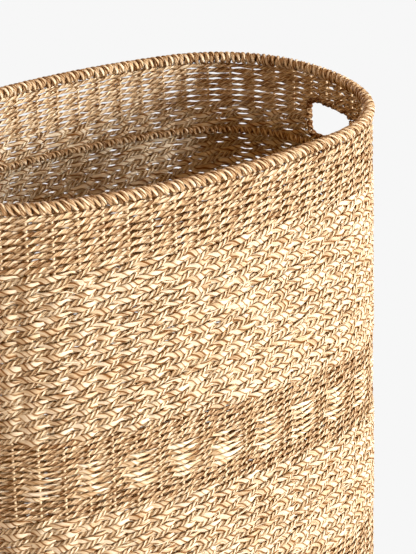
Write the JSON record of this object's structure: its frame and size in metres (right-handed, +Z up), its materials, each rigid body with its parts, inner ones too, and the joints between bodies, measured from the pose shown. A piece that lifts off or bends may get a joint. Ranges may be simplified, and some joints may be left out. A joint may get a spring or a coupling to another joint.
{
  "type": "woven laundry basket",
  "caption": "Tall oval woven seagrass laundry basket with whipped rim, inner hoop, cut-out hand holes and banded weave.",
  "frame": {"origin": "middle of the base on the floor", "axes": "+Z up, X along the basket's length through the two hand holes, Y across its width; the pictured long side faces -Y"},
  "size_m": [0.54, 0.363, 0.56],
  "materials": {
    "hoop_wire": "black painted steel wire",
    "seagrass_wrap": "dry seagrass strand, fibrous, matt with a faint sheen",
    "seagrass_tan": "natural tan seagrass, fibrous, matt with a faint sheen",
    "seagrass_light": "pale straw-coloured leaf, fibrous, soft sheen",
    "seagrass_bleached": "bleached flat leaf strand, soft sheen",
    "stake_cane": "split cane, smooth matt"
  },
  "bodies": {
    "root": {"rim_wire": "hoop_wire", "rim_wrap": "seagrass_wrap", "inner_hoop_wire": "hoop_wire", "inner_hoop_wrap": "seagrass_wrap", "foot_wire": "hoop_wire", "foot_wrap": "seagrass_wrap", "tan_top_band": "seagrass_tan", "light_upper_band": "seagrass_light", "check_upper_rows": "seagrass_tan", "check_light_blocks": "seagrass_bleached", "check_block_rows": "seagrass_tan", "check_lower_rows": "seagrass_tan", "light_lower_band": "seagrass_light", "tan_bottom_band": "seagrass_tan", "stakes_right_end": "stake_cane", "stakes_back": "stake_cane", "stakes_left_end": "stake_cane", "stakes_front": "stake_cane", "base_stakes_long": "stake_cane", "base_stakes_cross": "stake_cane", "base_weave": "seagrass_tan", "handle_wrap_right": "seagrass_wrap", "handle_wrap_left": "seagrass_wrap"}
  },
  "joints": []
}
